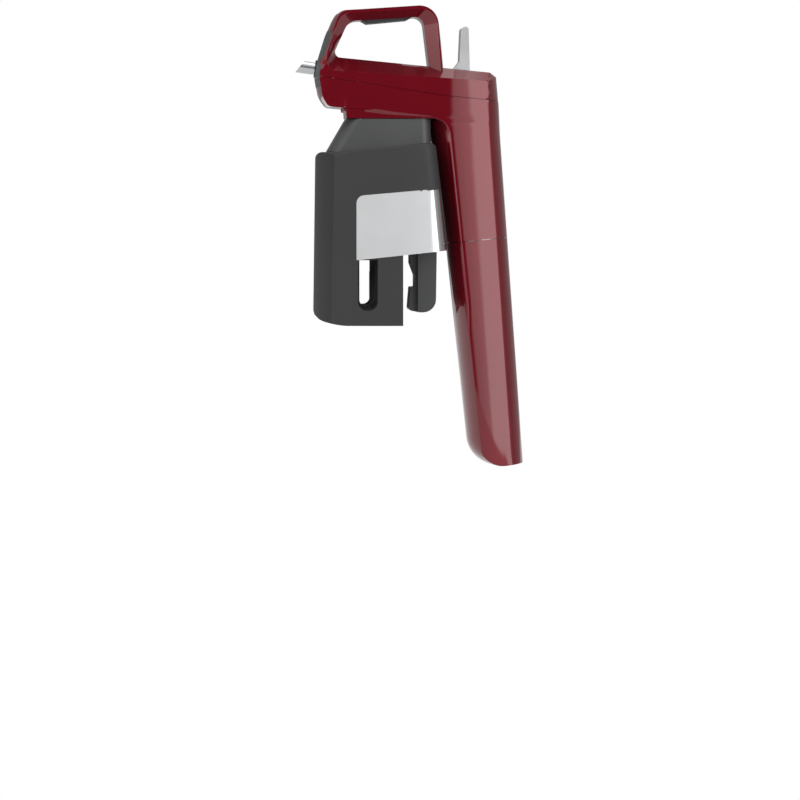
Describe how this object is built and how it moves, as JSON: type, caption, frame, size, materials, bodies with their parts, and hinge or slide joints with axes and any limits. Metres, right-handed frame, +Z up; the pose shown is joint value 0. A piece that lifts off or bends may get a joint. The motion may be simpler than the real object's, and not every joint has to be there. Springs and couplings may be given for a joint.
{
  "type": "wine preservation dispenser",
  "caption": "Hand-held wine dispenser: a sprung clamp grips the bottle neck, a needle on a sliding head pierces the cork, and a gas capsule in the grip pushes wine out of a front spout.",
  "frame": {"origin": "middle of the neck clamp, on the needle axis", "axes": "+Z up along the needle, -Y towards the spout, +X to the right wing (seen from behind the grip)"},
  "size_m": [0.058, 0.1067, 0.2144],
  "materials": {
    "red_shell": "deep metallic red, high gloss",
    "dark_shell": "dark grey, soft matt",
    "grey_trim": "dark grey, semi-gloss",
    "rubber": "matt",
    "chrome": "polished",
    "steel": "bright",
    "brass": "machined",
    "aluminium": "machined",
    "clear_plastic": "polished, low friction"
  },
  "bodies": {
    "base": {"clamp_housing": "dark_shell", "needle_guide": "clear_plastic", "lip_pad": "rubber", "wing_pivot_pins": "steel", "wing_springs": "steel", "guide_stop_pin": "steel"},
    "wing_right": {"wing_shell_right": "dark_shell", "wing_plate_right": "chrome", "grip_pads_right": "rubber"},
    "wing_left": {"wing_shell_left": "dark_shell", "wing_plate_left": "chrome", "grip_pads_left": "rubber"},
    "head": {"upper_shell": "red_shell", "lower_shell": "red_shell", "nose_trim": "grey_trim", "handle_pad": "rubber", "spout": "chrome", "spout_seal": "rubber", "manifold": "brass", "needle_hub": "chrome", "needle": "steel", "hub_seal": "rubber", "guide_rail": "steel", "rail_screws": "steel", "gas_tube": "steel", "valve_body": "aluminium", "supply_tube": "steel", "trigger_pin": "steel", "shell_screws": "steel", "regulator_body": "aluminium", "regulator_cap": "steel", "piercing_pin": "steel", "capsule_seal": "rubber", "cup_seal": "rubber"},
    "trigger": {"trigger": "chrome"},
    "valve_stem": {"valve_stem": "steel", "valve_seal": "rubber", "valve_spring": "steel"},
    "regulator_piston": {"regulator_piston": "brass", "regulator_spring": "steel"},
    "capsule": {"capsule": "steel"},
    "capsule_cup": {"capsule_cup": "red_shell", "cup_pad": "rubber"}
  },
  "joints": [
    {"name": "head_slide", "type": "slide", "parent": "base", "child": "head", "axis": [0, 0, 1], "range_m": [0, 0.052]},
    {"name": "trigger_hinge", "type": "hinge", "parent": "head", "child": "trigger", "pos_m": [0, 0.05, 0.0945], "axis": [1, 0, 0], "range_deg": [0, 12], "stiffness_Nm_per_rad": 0.6, "springref_deg": -5.73},
    {"name": "valve_slide", "type": "slide", "parent": "head", "child": "valve_stem", "axis": [0, 0, -1], "range_m": [0, 0.0017], "deforming": ["valve_spring"]},
    {"name": "regulator_slide", "type": "slide", "parent": "head", "child": "regulator_piston", "axis": [0, -0.0901, 0.9959], "range_m": [0, 0.0008], "stiffness_N_per_m": 6000, "springref_m": -0.0005, "deforming": ["regulator_spring"]},
    {"name": "wing_right_hinge", "type": "hinge", "parent": "base", "child": "wing_right", "pos_m": [0.023, 0, 0.061], "axis": [0, -1, 0], "range_deg": [0, 12], "stiffness_Nm_per_rad": 0.5, "springref_deg": -14.32},
    {"name": "wing_left_hinge", "type": "hinge", "parent": "base", "child": "wing_left", "pos_m": [-0.023, 0, 0.061], "axis": [0, 1, 0], "range_deg": [0, 12], "stiffness_Nm_per_rad": 0.5, "springref_deg": -14.32},
    {"name": "capsule_slide", "type": "slide", "parent": "head", "child": "capsule", "axis": [0, 0.0901, -0.9959], "range_m": [0, 0.11]},
    {"name": "cup_turn", "type": "hinge", "parent": "capsule", "child": "capsule_cup", "pos_m": [0, 0.0544, 0.0246], "axis": [0, 0.0901, -0.9959], "range_deg": [0, 540]}
  ],
  "couplings": [
    {"joint": "valve_slide", "follows": "trigger_hinge", "m_per_rad": 0.00784}
  ]
}
